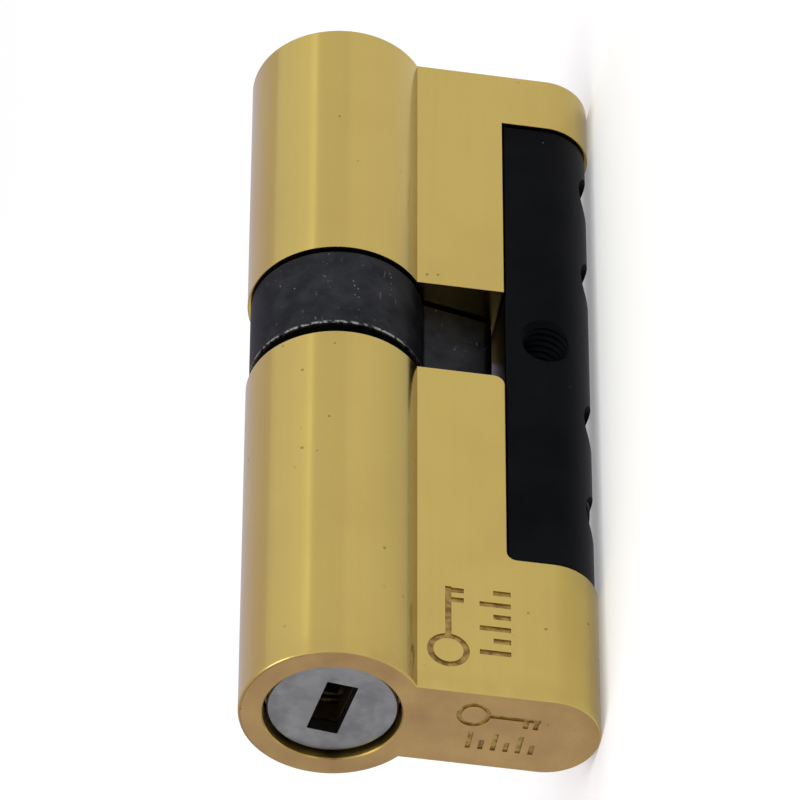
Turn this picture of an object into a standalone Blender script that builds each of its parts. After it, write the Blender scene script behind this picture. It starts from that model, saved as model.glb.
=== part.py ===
"""Modular euro-profile door lock cylinder, keyed from both sides, built in metres.

+Z is up as the cylinder sits in the door: the round barrel is on top and the leg points down. The plug
axis runs along Y. The outer, longer half is at -Y and the inner half at +Y. X is the thickness. The
origin is on the plug axis, level with the fixing screw that holds the cylinder in its lock case.
"""

from math import asin, cos, pi, radians, sin, sqrt

import bmesh
import bpy
from mathutils import Matrix, Vector

MM = 0.001
GAP = 0.3 * MM  # left between faces that rest on each other

# Profile of the housings
BARREL_RADIUS = 8.5 * MM
LEG_HALF_WIDTH = 5.0 * MM
LEG_BOTTOM_Z = -24.5 * MM
OUTER_FACE = 45.0 * MM  # from the fixing screw to each key face
INNER_FACE = 35.0 * MM
CAM_GAP_HALF = 5.45 * MM
BORE_RADIUS = 6.3 * MM
WEB_THICKNESS = 2.0 * MM  # wall at the cam end of each bore
WEB_HOLE_RADIUS = 4.8 * MM
GROOVE_WIDTH = 2.4 * MM  # where the sidebar drops when locked
GROOVE_REACH = 7.6 * MM

# Connecting bar in the foot of the leg
BAR_HALF_LENGTH = 28.3 * MM
BAR_HALF_WIDTH = 4.72 * MM
BAR_TOP_Z = -15.3 * MM
LEG_ARC_Z = LEG_BOTTOM_Z + LEG_HALF_WIDTH
FIXING_HOLE_RADIUS = 2.5 * MM
FIXING_HOLE_Z = -19.35 * MM
SCREW_PITCH = 11.5 * MM
FIRST_SCREW_OUTER = 7.6 * MM
FIRST_SCREW_INNER = 11.1 * MM
SCREW_CLEARANCE = 0.2 * MM
SCREW_RADIUS = 1.5 * MM
SCREW_HEAD_RADIUS = 2.75 * MM
SCREW_HEAD_HEIGHT = 3.0 * MM
SCREW_SHANK = 10.0 * MM
SCREW_HEAD_END_Z = -22.6 * MM
LOOSE_SCREW_DROP = 0.9 * MM
SOCKET_ACROSS_CORNERS = 2.9 * MM
SOCKET_DEPTH = 1.4 * MM
COUNTERBORE_RADIUS = 3.1 * MM

# Cam and clutch
CAM_TURN = radians(12)
CAM_RADIUS = 8.2 * MM
CAM_WIDTH = 9.2 * MM
CAM_SHIFT = 0.45 * MM  # axial play has carried it towards the inner half
CAM_BORE_RADIUS = 5.7 * MM
LEVER_HALF_WIDTH = 3.9 * MM
LEVER_TIP_RADIUS = 14.9 * MM
LEVER_CORNER = 2.2 * MM
LEVER_FILLET = 1.0 * MM
KEYWAY_WIDTH = 3.2 * MM
KEYWAY_REACH = 6.8 * MM
CLUTCH_RADIUS = 5.2 * MM
CLUTCH_HALF_THICKNESS = 1.2 * MM
CLUTCH_LUG_WIDTH = 2.6 * MM
CLUTCH_LUG_REACH = 6.5 * MM
CLUTCH_TRAVEL = 1.1 * MM  # towards the inner half
DOG_WIDTH = 2.2 * MM
DOG_LENGTH = 7.6 * MM

# Plugs: rotor, discs and sidebar
OUTER_PLUG_TURN = radians(7.5)
PLUG_RECESS = 0.7 * MM
SHIELD_RADIUS = 5.95 * MM
SHIELD_THICKNESS = 1.2 * MM
SHIELD_LUG_RADII = (5.4 * MM, 5.8 * MM)
SHIELD_LUG_WIDTH = 2.0 * MM
SHIELD_LUG_LENGTH = 1.4 * MM
KEY_SLOT_LENGTH = 6.6 * MM
KEY_SLOT_WIDTH = 2.9 * MM
ROTOR_RADIUS = 6.15 * MM
ROTOR_CAVITY_RADIUS = 5.2 * MM
TAIL_RADIUS = 4.5 * MM
OUTER_TAIL_END = 1.7 * MM
INNER_TAIL_END = 3.4 * MM
TAIL_SLOT_DEPTH = 2.0 * MM
CLIP_GROOVE = (4.35 * MM, 5.35 * MM)
CLIP_FACES = (4.6 * MM, 5.1 * MM)
CLIP_RADII = (4.15 * MM, 5.3 * MM)
CLIP_GROOVE_RADIUS = 3.9 * MM
DISC_RADIUS = 5.0 * MM
DISC_THICKNESS = 2.0 * MM
SPACER_THICKNESS = 0.6 * MM
SPACER_HOLE_RADIUS = 3.9 * MM
GATE_WIDTH = 2.3 * MM
GATE_FLOOR = 4.0 * MM
FALSE_GATE_WIDTH = 1.3 * MM
FALSE_GATE_FLOOR = 4.5 * MM
SIDEBAR_WIDTH = 1.7 * MM
SIDEBAR_RADII = (4.3 * MM, 5.5 * MM, 5.95 * MM)
SIDEBAR_NOSE_WIDTH = 0.8 * MM
OUTER_CODE = (3, 5, 2, 4, 6, 3, 1, 5)  # steps of the false gates round each disc
INNER_CODE = (3, 5, 2, 4, 6, 3)
CODE_STEP = radians(24)

BIG_ARC = 48  # segments in a full turn
SMALL_ARC = 32
TINY_ARC = 20


def clear_scene():
    for obj in list(bpy.data.objects):
        bpy.data.objects.remove(obj)


def metal(name, colour, roughness, metallic=1.0):
    material = bpy.data.materials.new(name)
    material.use_nodes = True
    shader = material.node_tree.nodes["Principled BSDF"]
    shader.inputs["Base Color"].default_value = (*colour, 1.0)
    shader.inputs["Roughness"].default_value = roughness
    shader.inputs["Metallic"].default_value = metallic
    return material


def placed(name, shape, material=None):
    """Turns a bmesh into an object at the origin, shaded smooth apart from its sharp edges."""
    bmesh.ops.remove_doubles(shape, verts=shape.verts, dist=1e-7)
    bmesh.ops.recalc_face_normals(shape, faces=shape.faces)
    mesh = bpy.data.meshes.new(name)
    shape.to_mesh(mesh)
    shape.free()
    mesh.shade_smooth()
    mesh.set_sharp_from_angle(angle=radians(30))
    obj = bpy.data.objects.new(name, mesh)
    bpy.context.scene.collection.objects.link(obj)
    if material:
        mesh.materials.append(material)
    return obj


def apply_tool(piece, tool, operation="DIFFERENCE"):
    """Cuts the tool from the piece, or joins it on. The tool follows the piece and isn't a piece itself."""
    tool.hide_render = True
    tool.display_type = "WIRE"
    tool.parent = piece
    modifier = piece.modifiers.new(tool.name, "BOOLEAN")
    modifier.operation = operation
    modifier.solver = "EXACT"
    modifier.object = tool


def arc(radius, start, end, segments, centre=(0.0, 0.0)):
    """Points (x, z) from one angle to the other, both ends included."""
    step = (end - start) / segments
    return [
        (centre[0] + radius * cos(start + step * i), centre[1] + radius * sin(start + step * i))
        for i in range(segments + 1)
    ]


def prism_shape(outline, y_start, y_end):
    """An outline of (x, z) points, extruded along Y."""
    shape = bmesh.new()
    face = shape.faces.new([shape.verts.new((x, y_start, z)) for x, z in outline])
    grown = bmesh.ops.extrude_face_region(shape, geom=[face])["geom"]
    moved = [item for item in grown if isinstance(item, bmesh.types.BMVert)]
    bmesh.ops.translate(shape, verts=moved, vec=(0.0, y_end - y_start, 0.0))
    return shape


def box_shape(low, high):
    shape = bmesh.new()
    size = Vector(high) - Vector(low)
    bmesh.ops.create_cube(shape, size=1.0)
    bmesh.ops.scale(shape, vec=size, verts=shape.verts)
    bmesh.ops.translate(shape, vec=(Vector(high) + Vector(low)) / 2, verts=shape.verts)
    return shape


def turned_shape(profile, axis, segments):
    """A profile of (radius, distance along the axis) points, turned about the axis through the origin."""
    across = Vector((1, 0, 0)) if axis == "Y" else Vector((0, 1, 0))
    along = {"X": Vector((1, 0, 0)), "Y": Vector((0, 1, 0)), "Z": Vector((0, 0, 1))}[axis]
    shape = bmesh.new()
    points = [shape.verts.new(across * radius + along * distance) for radius, distance in profile]
    edges = [shape.edges.new(pair) for pair in zip(points, points[1:])]
    bmesh.ops.spin(
        shape, geom=points + edges, cent=(0, 0, 0), axis=along, angle=2 * pi, steps=segments, use_merge=True
    )
    return shape


def rod_shape(radius, start, end, axis="Y", segments=SMALL_ARC):
    return turned_shape([(0.0, start), (radius, start), (radius, end), (0.0, end)], axis, segments)


def moved_shape(shape, x=0.0, y=0.0, z=0.0):
    bmesh.ops.translate(shape, verts=shape.verts, vec=(x, y, z))
    return shape


def spun_about_plug_axis(shape, angle):
    bmesh.ops.rotate(shape, verts=shape.verts, cent=(0, 0, 0), matrix=Matrix.Rotation(angle, 3, "Y"))
    return shape


def axis_empty(name, turn=0.0):
    """An empty on the plug axis that carries what turns together."""
    empty = bpy.data.objects.new(name, None)
    empty.rotation_euler.y = turn
    bpy.context.scene.collection.objects.link(empty)
    return empty


def screw_places():
    """(y, drop) of each bar screw. The one nearest the outer key face isn't driven fully home."""
    outer = [(-FIRST_SCREW_OUTER, 0.0), (-FIRST_SCREW_OUTER - SCREW_PITCH, LOOSE_SCREW_DROP)]
    inner = [(FIRST_SCREW_INNER, 0.0), (FIRST_SCREW_INNER + SCREW_PITCH, 0.0)]
    return outer, inner


def shank_top_z():
    return SCREW_HEAD_END_Z + SCREW_HEAD_HEIGHT + SCREW_SHANK


def housing(name, side, face, screws, material):
    """One half of the cylinder body. Side is -1 for the outer half and 1 for the inner one."""
    junction = asin(LEG_HALF_WIDTH / BARREL_RADIUS)
    outline = arc(BARREL_RADIUS, -pi / 2 + junction, 3 * pi / 2 - junction, BIG_ARC)
    outline += arc(LEG_HALF_WIDTH, pi, 2 * pi, BIG_ARC // 3, (0.0, LEG_ARC_Z))
    body = placed(name, prism_shape(outline, side * CAM_GAP_HALF, side * face), material)

    web = side * (CAM_GAP_HALF + WEB_THICKNESS)
    past_face = side * (face + MM)
    apply_tool(body, placed(name + "_bore", rod_shape(BORE_RADIUS, web, past_face)))
    web_hole = rod_shape(WEB_HOLE_RADIUS, side * (CAM_GAP_HALF - MM), web + side * MM)
    apply_tool(body, placed(name + "_web_hole", web_hole))

    groove_end = side * (face - SHIELD_THICKNESS - PLUG_RECESS)
    groove_start = web + side * GAP
    groove_low = (-GROOVE_WIDTH / 2, min(groove_start, groove_end), -GROOVE_REACH)
    groove_high = (GROOVE_WIDTH / 2, max(groove_start, groove_end), -TAIL_RADIUS)
    apply_tool(body, placed(name + "_sidebar_groove", box_shape(groove_low, groove_high)))

    seat_end = BAR_HALF_LENGTH + GAP
    seat_low = (-2 * LEG_HALF_WIDTH, -seat_end, 2 * LEG_BOTTOM_Z)
    seat_high = (2 * LEG_HALF_WIDTH, seat_end, BAR_TOP_Z + GAP)
    apply_tool(body, placed(name + "_bar_seat", box_shape(seat_low, seat_high)))

    for index, (y, _) in enumerate(screws, 1):
        hole = rod_shape(SCREW_RADIUS + SCREW_CLEARANCE, BAR_TOP_Z - MM, shank_top_z() + GAP, "Z", TINY_ARC)
        apply_tool(body, placed(f"{name}_tapping_{index}", moved_shape(hole, y=y)))
    return body


def connecting_bar(screws, material):
    """The steel bar in the foot of the leg that holds the two halves and takes the fixing screw."""
    outline = arc(BAR_HALF_WIDTH, pi, 2 * pi, BIG_ARC // 3, (0.0, LEG_ARC_Z))
    outline += [(BAR_HALF_WIDTH, BAR_TOP_Z), (-BAR_HALF_WIDTH, BAR_TOP_Z)]
    bar = placed("connecting_bar", prism_shape(outline, -BAR_HALF_LENGTH, BAR_HALF_LENGTH), material)

    across = 2 * BAR_HALF_WIDTH
    fixing = rod_shape(FIXING_HOLE_RADIUS, -across, across, "X")
    apply_tool(bar, placed("fixing_screw_hole", moved_shape(fixing, z=FIXING_HOLE_Z)))

    seat_z = SCREW_HEAD_END_Z + SCREW_HEAD_HEIGHT + GAP
    for index, (y, _) in enumerate(screws, 1):
        stepped = [
            (0.0, LEG_BOTTOM_Z - MM),
            (COUNTERBORE_RADIUS, LEG_BOTTOM_Z - MM),
            (COUNTERBORE_RADIUS, seat_z),
            (SCREW_RADIUS + SCREW_CLEARANCE, seat_z),
            (SCREW_RADIUS + SCREW_CLEARANCE, BAR_TOP_Z + MM),
            (0.0, BAR_TOP_Z + MM),
        ]
        hole = moved_shape(turned_shape(stepped, "Z", TINY_ARC), y=y)
        apply_tool(bar, placed(f"bar_screw_hole_{index}", hole))
    return bar


def bar_screw(index, y, drop, material):
    """A cap screw driven up through the bar into the leg, head downwards."""
    head_end = SCREW_HEAD_END_Z - drop
    head_top = head_end + SCREW_HEAD_HEIGHT
    profile = [
        (0.0, head_end),
        (SCREW_HEAD_RADIUS, head_end),
        (SCREW_HEAD_RADIUS, head_top),
        (SCREW_RADIUS, head_top),
        (SCREW_RADIUS, head_top + SCREW_SHANK),
        (0.0, head_top + SCREW_SHANK),
    ]
    screw = placed(f"bar_screw_{index}", moved_shape(turned_shape(profile, "Z", TINY_ARC), y=y), material)
    socket = rod_shape(SOCKET_ACROSS_CORNERS / 2, head_end - MM, head_end + SOCKET_DEPTH, "Z", 6)
    apply_tool(screw, placed(f"bar_screw_socket_{index}", moved_shape(socket, y=y)))
    return screw


def cam_outline():
    """Ring and lever seen along the plug axis, lever pointing down."""
    side = LEVER_HALF_WIDTH
    fillet_z = -sqrt((CAM_RADIUS + LEVER_FILLET) ** 2 - (side + LEVER_FILLET) ** 2)
    fillet_angle = asin((side + LEVER_FILLET) / (CAM_RADIUS + LEVER_FILLET))
    corner_centre = side - LEVER_CORNER
    corner_z = -sqrt((LEVER_TIP_RADIUS - LEVER_CORNER) ** 2 - corner_centre**2)
    tip_angle = asin(corner_centre / (LEVER_TIP_RADIUS - LEVER_CORNER))

    ring = arc(CAM_RADIUS, -pi / 2 + fillet_angle, 3 * pi / 2 - fillet_angle, BIG_ARC)
    left_fillet = arc(LEVER_FILLET, pi / 2 - fillet_angle, 0.0, 4, (-side - LEVER_FILLET, fillet_z))
    left_corner = arc(LEVER_CORNER, pi, 3 * pi / 2 - tip_angle, 5, (-corner_centre, corner_z))
    tip = arc(LEVER_TIP_RADIUS, 3 * pi / 2 - tip_angle, 3 * pi / 2 + tip_angle, 3)
    right_corner = arc(LEVER_CORNER, 3 * pi / 2 + tip_angle, 2 * pi, 5, (corner_centre, corner_z))
    right_fillet = arc(LEVER_FILLET, pi, pi / 2 + fillet_angle, 4, (side + LEVER_FILLET, fillet_z))
    return ring[:-1] + left_fillet + left_corner[:-1] + tip[:-1] + right_corner + right_fillet[:-1]


def cam(axis, material):
    start = CAM_SHIFT - CAM_WIDTH / 2
    end = CAM_SHIFT + CAM_WIDTH / 2
    ring = placed("cam", prism_shape(cam_outline(), start, end), material)
    apply_tool(ring, placed("cam_bore", rod_shape(CAM_BORE_RADIUS, start - MM, end + MM)))
    low = (-KEYWAY_REACH, start - MM, -KEYWAY_WIDTH / 2)
    high = (KEYWAY_REACH, end + MM, KEYWAY_WIDTH / 2)
    keyways = box_shape(low, high)
    apply_tool(ring, placed("cam_keyways", keyways))
    ring.parent = axis
    return ring


def clutch(axis, material):
    """Slides in the cam's keyways. Its long dog sits in the tail of the outer rotor."""
    half = CLUTCH_HALF_THICKNESS
    body = placed("clutch", rod_shape(CLUTCH_RADIUS, -half, half), material)
    lug_low = (-CLUTCH_LUG_REACH, -half, -CLUTCH_LUG_WIDTH / 2)
    lug_high = (CLUTCH_LUG_REACH, half, CLUTCH_LUG_WIDTH / 2)
    lugs = box_shape(lug_low, lug_high)
    apply_tool(body, placed("clutch_lugs", lugs), "UNION")
    outer_dog = -OUTER_TAIL_END - TAIL_SLOT_DEPTH + GAP
    inner_dog = INNER_TAIL_END - CLUTCH_TRAVEL - GAP
    dogs = box_shape((-DOG_LENGTH / 2, outer_dog, -DOG_WIDTH / 2), (DOG_LENGTH / 2, inner_dog, DOG_WIDTH / 2))
    apply_tool(body, placed("clutch_dogs", dogs), "UNION")
    body.parent = axis
    return body


def key_slot(name, start, end):
    low = (-KEY_SLOT_LENGTH / 2, min(start, end), -KEY_SLOT_WIDTH / 2)
    high = (KEY_SLOT_LENGTH / 2, max(start, end), KEY_SLOT_WIDTH / 2)
    return placed(name, box_shape(low, high))


def gate(name, width, floor, start, end, angle=0.0):
    """A cutter that opens a notch in a disc's rim, at the bottom or turned round from there."""
    low = (-width / 2, min(start, end), -2 * DISC_RADIUS)
    high = (width / 2, max(start, end), -floor)
    return placed(name, spun_about_plug_axis(box_shape(low, high), angle))


def lug_shape(hand, radii, width, start, end):
    """A short block near the rim, on the +X or the -X side."""
    x_low, x_high = sorted(hand * radius for radius in radii)
    return box_shape((x_low, min(start, end), -width / 2), (x_high, max(start, end), width / 2))


def shield_disc(prefix, side, face, axis, material):
    """The hardened disc seen in the key face, keyed to the rotor by two lugs."""
    front = side * (face - PLUG_RECESS)
    back = front - side * SHIELD_THICKNESS
    disc = placed(prefix + "_shield_disc", rod_shape(SHIELD_RADIUS, front, back), material)
    root = (front + back) / 2
    lug_end = back - side * SHIELD_LUG_LENGTH
    for hand in (-1, 1):
        lug = lug_shape(hand, SHIELD_LUG_RADII, SHIELD_LUG_WIDTH, root, lug_end)
        apply_tool(disc, placed(f"{prefix}_shield_lug_{hand}", lug), "UNION")
    apply_tool(disc, key_slot(prefix + "_shield_slot", front + side * MM, back - side * MM))
    disc.parent = axis
    return disc


def rotor(prefix, side, face, tail_end, disc_count, axis, material):
    """The turning sleeve that holds the discs, with a tail that reaches into the cam."""
    mouth = face - PLUG_RECESS - SHIELD_THICKNESS - GAP
    shoulder = CAM_GAP_HALF + WEB_THICKNESS + GAP
    floor = mouth - disc_count * disc_pitch()
    groove_start, groove_end = CLIP_GROOVE
    profile = [
        (0.0, floor),
        (ROTOR_CAVITY_RADIUS, floor),
        (ROTOR_CAVITY_RADIUS, mouth),
        (ROTOR_RADIUS, mouth),
        (ROTOR_RADIUS, shoulder),
        (TAIL_RADIUS, shoulder),
        (TAIL_RADIUS, groove_end),
        (CLIP_GROOVE_RADIUS, groove_end),
        (CLIP_GROOVE_RADIUS, groove_start),
        (TAIL_RADIUS, groove_start),
        (TAIL_RADIUS, tail_end),
        (0.0, tail_end),
    ]
    sleeve = turned_shape([(radius, side * distance) for radius, distance in profile], "Y", SMALL_ARC)
    body = placed(prefix + "_rotor", sleeve, material)

    slot_start, slot_end = sorted((side * (floor + GAP), side * (mouth - GAP)))
    slot_low = (-GATE_WIDTH / 2, slot_start, -2 * ROTOR_RADIUS)
    slot_high = (GATE_WIDTH / 2, slot_end, -GATE_FLOOR)
    slot = box_shape(slot_low, slot_high)
    apply_tool(body, placed(prefix + "_rotor_sidebar_slot", slot))

    notch_width = SHIELD_LUG_WIDTH + 2 * GAP
    notch_floor = side * (mouth - SHIELD_LUG_LENGTH)
    for hand in (-1, 1):
        notch_radii = (ROTOR_CAVITY_RADIUS - GAP, ROTOR_RADIUS + GAP)
        notch = lug_shape(hand, notch_radii, notch_width, notch_floor, side * (mouth + MM))
        apply_tool(body, placed(f"{prefix}_rotor_notch_{hand}", notch))

    tail_start, tail_stop = sorted((side * (tail_end - MM), side * (tail_end + TAIL_SLOT_DEPTH)))
    reach = 2 * TAIL_RADIUS
    dog_slot = box_shape((-reach, tail_start, -KEYWAY_WIDTH / 2), (reach, tail_stop, KEYWAY_WIDTH / 2))
    apply_tool(body, placed(prefix + "_rotor_dog_slot", dog_slot))
    body.parent = axis
    return body


def disc_pitch():
    return DISC_THICKNESS + SPACER_THICKNESS + 2 * GAP


def disc_pack(prefix, side, face, code, axis, disc_material, spacer_material):
    """Code discs with a spacer between neighbours. Their true gates line up under the sidebar."""
    mouth = face - PLUG_RECESS - SHIELD_THICKNESS - GAP
    for index, step in enumerate(code, 1):
        front = side * (mouth - (index - 1) * disc_pitch())
        back = front - side * DISC_THICKNESS
        ahead, behind = front + side * MM, back - side * MM
        disc = placed(f"{prefix}_code_disc_{index}", rod_shape(DISC_RADIUS, front, back), disc_material)
        apply_tool(disc, key_slot(f"{prefix}_disc_slot_{index}", ahead, behind))
        apply_tool(disc, gate(f"{prefix}_true_gate_{index}", GATE_WIDTH, GATE_FLOOR, ahead, behind))
        false_angle = pi / 2 + (step - 1) * CODE_STEP / 2
        false_name = f"{prefix}_false_gate_{index}"
        apply_tool(disc, gate(false_name, FALSE_GATE_WIDTH, FALSE_GATE_FLOOR, ahead, behind, false_angle))
        disc.parent = axis
        if index == len(code):
            continue
        spacer_front = back - side * GAP
        spacer_back = spacer_front - side * SPACER_THICKNESS
        washer = washer_shape(SPACER_HOLE_RADIUS, DISC_RADIUS, GATE_WIDTH, spacer_front, spacer_back)
        spacer = placed(f"{prefix}_spacer_{index}", washer, spacer_material)
        spacer.parent = axis


def washer_shape(inner, outer, opening, start, end):
    """A flat ring open at the bottom."""
    outer_half = asin(opening / 2 / outer)
    inner_half = asin(opening / 2 / inner)
    outline = arc(outer, -pi / 2 + outer_half, 3 * pi / 2 - outer_half, SMALL_ARC)
    outline += arc(inner, 3 * pi / 2 - inner_half, -pi / 2 + inner_half, SMALL_ARC - 8)
    return prism_shape(outline, start, end)


def sidebar(prefix, side, face, disc_count, axis, material):
    """The locking bar, here dropped into the gates so that the rotor is free to turn."""
    mouth = face - PLUG_RECESS - SHIELD_THICKNESS - GAP
    start = mouth - 2 * GAP
    end = mouth - disc_count * disc_pitch() + 2 * GAP
    inner, shoulder, nose = SIDEBAR_RADII
    half, nose_half = SIDEBAR_WIDTH / 2, SIDEBAR_NOSE_WIDTH / 2
    outline = [
        (-half, -inner),
        (-half, -shoulder),
        (-nose_half, -nose),
        (nose_half, -nose),
        (half, -shoulder),
        (half, -inner),
    ]
    bar = placed(prefix + "_sidebar", prism_shape(outline, side * start, side * end), material)
    bar.parent = axis


def retaining_ring(prefix, side, axis, material):
    """The clip behind the web that keeps the rotor in its bore."""
    inner, outer = CLIP_RADII
    start, end = (side * distance for distance in CLIP_FACES)
    clip = placed(prefix + "_retaining_ring", washer_shape(inner, outer, GATE_WIDTH, start, end), material)
    clip.parent = axis


def plug(prefix, side, face, tail_end, code, turn, steel, hardened, brass):
    """Everything that turns in one half."""
    axis = axis_empty(prefix + "_plug_axis", turn)
    shield_disc(prefix, side, face, axis, hardened)
    rotor(prefix, side, face, tail_end, len(code), axis, steel)
    disc_pack(prefix, side, face, code, axis, brass, steel)
    sidebar(prefix, side, face, len(code), axis, steel)
    retaining_ring(prefix, side, axis, hardened)


def build():
    clear_scene()
    polished_brass = metal("polished_brass", (0.60, 0.40, 0.10), 0.18)
    disc_brass = metal("disc_brass", (0.52, 0.36, 0.12), 0.35)
    satin_black = metal("satin_black_steel", (0.012, 0.013, 0.015), 0.42, 0.6)
    cam_black = metal("blackened_cam_steel", (0.02, 0.02, 0.022), 0.6, 0.5)
    bright_steel = metal("bright_steel", (0.45, 0.45, 0.44), 0.3)
    rotor_steel = metal("rotor_steel", (0.32, 0.32, 0.33), 0.38)

    outer_screws, inner_screws = screw_places()
    housing("outer_housing", -1, OUTER_FACE, outer_screws, polished_brass)
    housing("inner_housing", 1, INNER_FACE, inner_screws, polished_brass)
    connecting_bar(outer_screws + inner_screws, satin_black)
    for index, (y, drop) in enumerate(outer_screws + inner_screws, 1):
        bar_screw(index, y, drop, satin_black)

    cam_axis = axis_empty("cam_axis", CAM_TURN)
    cam(cam_axis, cam_black)
    clutch(cam_axis, rotor_steel)

    metals = (rotor_steel, bright_steel, disc_brass)
    plug("outer", -1, OUTER_FACE, OUTER_TAIL_END, OUTER_CODE, OUTER_PLUG_TURN, *metals)
    plug("inner", 1, INNER_FACE, INNER_TAIL_END, INNER_CODE, 0.0, *metals)


build()
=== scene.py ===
from math import asin, pi, radians, sqrt

import bmesh
import bpy
from mathutils import Matrix, Vector


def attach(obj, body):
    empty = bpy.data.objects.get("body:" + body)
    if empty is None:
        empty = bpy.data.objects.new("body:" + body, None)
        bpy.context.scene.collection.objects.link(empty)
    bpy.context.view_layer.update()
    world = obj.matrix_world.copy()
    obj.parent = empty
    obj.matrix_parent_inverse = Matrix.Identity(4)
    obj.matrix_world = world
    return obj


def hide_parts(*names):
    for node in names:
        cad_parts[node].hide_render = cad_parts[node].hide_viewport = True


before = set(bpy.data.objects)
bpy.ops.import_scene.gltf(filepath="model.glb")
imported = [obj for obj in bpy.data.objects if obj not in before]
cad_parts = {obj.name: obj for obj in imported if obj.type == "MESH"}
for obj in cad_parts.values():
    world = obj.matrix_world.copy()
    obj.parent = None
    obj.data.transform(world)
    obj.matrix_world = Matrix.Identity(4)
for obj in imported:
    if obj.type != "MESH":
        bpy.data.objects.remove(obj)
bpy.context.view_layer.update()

mm = 0.001
fullTurn = 2 * pi
samePlace = 0.01  # mm, points nearer than this are one place
overrun = 1  # mm that a cutter runs past a face
squareOn = 0.99999  # how nearly a face has to look along an axis to count as square to it


class Value:  # a socket that can be used in sums
    def __init__(self, tree, socket):
        self.tree = tree
        self.socket = socket

    def sum(self, operation, first, second=0.0):
        return self.tree.add("ShaderNodeMath", {"operation": operation}, {0: first, 1: second})

    def __add__(self, other):
        return self.sum("ADD", self, other)

    def __sub__(self, other):
        return self.sum("SUBTRACT", self, other)

    def __rsub__(self, other):
        return self.sum("SUBTRACT", other, self)

    def __mul__(self, other):
        return self.sum("MULTIPLY", self, other)

    def __truediv__(self, other):
        return self.sum("DIVIDE", self, other)

    def __pow__(self, other):
        return self.sum("POWER", self, other)

    def larger(self, other):
        return self.sum("MAXIMUM", self, other)

    def smaller(self, other):
        return self.sum("MINIMUM", self, other)

    def size(self):
        return self.sum("ABSOLUTE", self)

    __radd__ = __add__
    __rmul__ = __mul__


class Tree:  # builds one node tree
    def __init__(self, owner):
        owner.use_nodes = True
        self.nodes = owner.node_tree.nodes
        self.links = owner.node_tree.links
        self.nodes.clear()

    def add(self, kind, settings=None, inputs=None, output=0):
        node = self.nodes.new(kind)
        for name, setting in (settings or {}).items():
            if name == "stops":
                self.setStops(node.color_ramp, setting)
            else:
                setattr(node, name, setting)
        for name, given in (inputs or {}).items():
            if isinstance(given, Value):
                self.links.new(given.socket, node.inputs[name])
            else:
                node.inputs[name].default_value = given
        return Value(self, node.outputs[output]) if node.outputs else None

    def setStops(self, ramp, stops):
        while len(ramp.elements) < len(stops):
            ramp.elements.new(0.5)
        for element, (place, colour) in zip(ramp.elements, stops):
            element.position = place
            element.color = (*colour, 1.0)

    def place(self, scale=(1, 1, 1)):  # object coordinates, in millimetres
        where = self.add("ShaderNodeTexCoord", output=3)
        millimetres = tuple(1000 * part for part in scale)
        return self.add("ShaderNodeMapping", {}, {"Vector": where, "Scale": millimetres})

    def noise(self, size, detail=2.0, scale=(1, 1, 1), roughness=0.5):  # size of one patch in mm
        inputs = {"Vector": self.place(scale), "Scale": 1 / size, "Detail": detail, "Roughness": roughness}
        return self.add("ShaderNodeTexNoise", {}, inputs)

    def specks(self, size, reach):  # 1 inside small round dots, 0 outside
        inputs = {"Vector": self.place(), "Scale": 1 / size, "Randomness": 1.0}
        nearest = self.add("ShaderNodeTexVoronoi", {}, inputs)
        return self.step(nearest, reach, 0.6 * reach)

    def step(self, value, low, high):  # 0 at low, 1 at high, straight between, either way round
        inputs = {"Value": value, "From Min": low, "From Max": high, "To Min": 0.0, "To Max": 1.0}
        return self.add("ShaderNodeMapRange", {"clamp": True}, inputs)

    def mix(self, mask, first, second):  # colours
        inputs = {0: mask, 6: self.colour(first), 7: self.colour(second)}
        return self.add("ShaderNodeMix", {"data_type": "RGBA"}, inputs, output=2)

    def colour(self, given):
        return given if isinstance(given, Value) else (*given, 1.0)

    def axes(self):  # x, y and z in millimetres
        where = self.place()
        return [self.add("ShaderNodeSeparateXYZ", {}, {0: where}, output=axis) for axis in range(3)]

    def bump(self, height, distance, under=None):
        inputs = {"Height": height, "Distance": distance, "Strength": 1.0}
        if under:
            inputs["Normal"] = under
        return self.add("ShaderNodeBump", {}, inputs)

    def shader(self, inputs):
        made = self.add("ShaderNodeBsdfPrincipled", {}, inputs)
        self.add("ShaderNodeOutputMaterial", {}, {"Surface": made})


def newMaterial(name):
    material = bpy.data.materials.new(name)
    return material, Tree(material)


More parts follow.
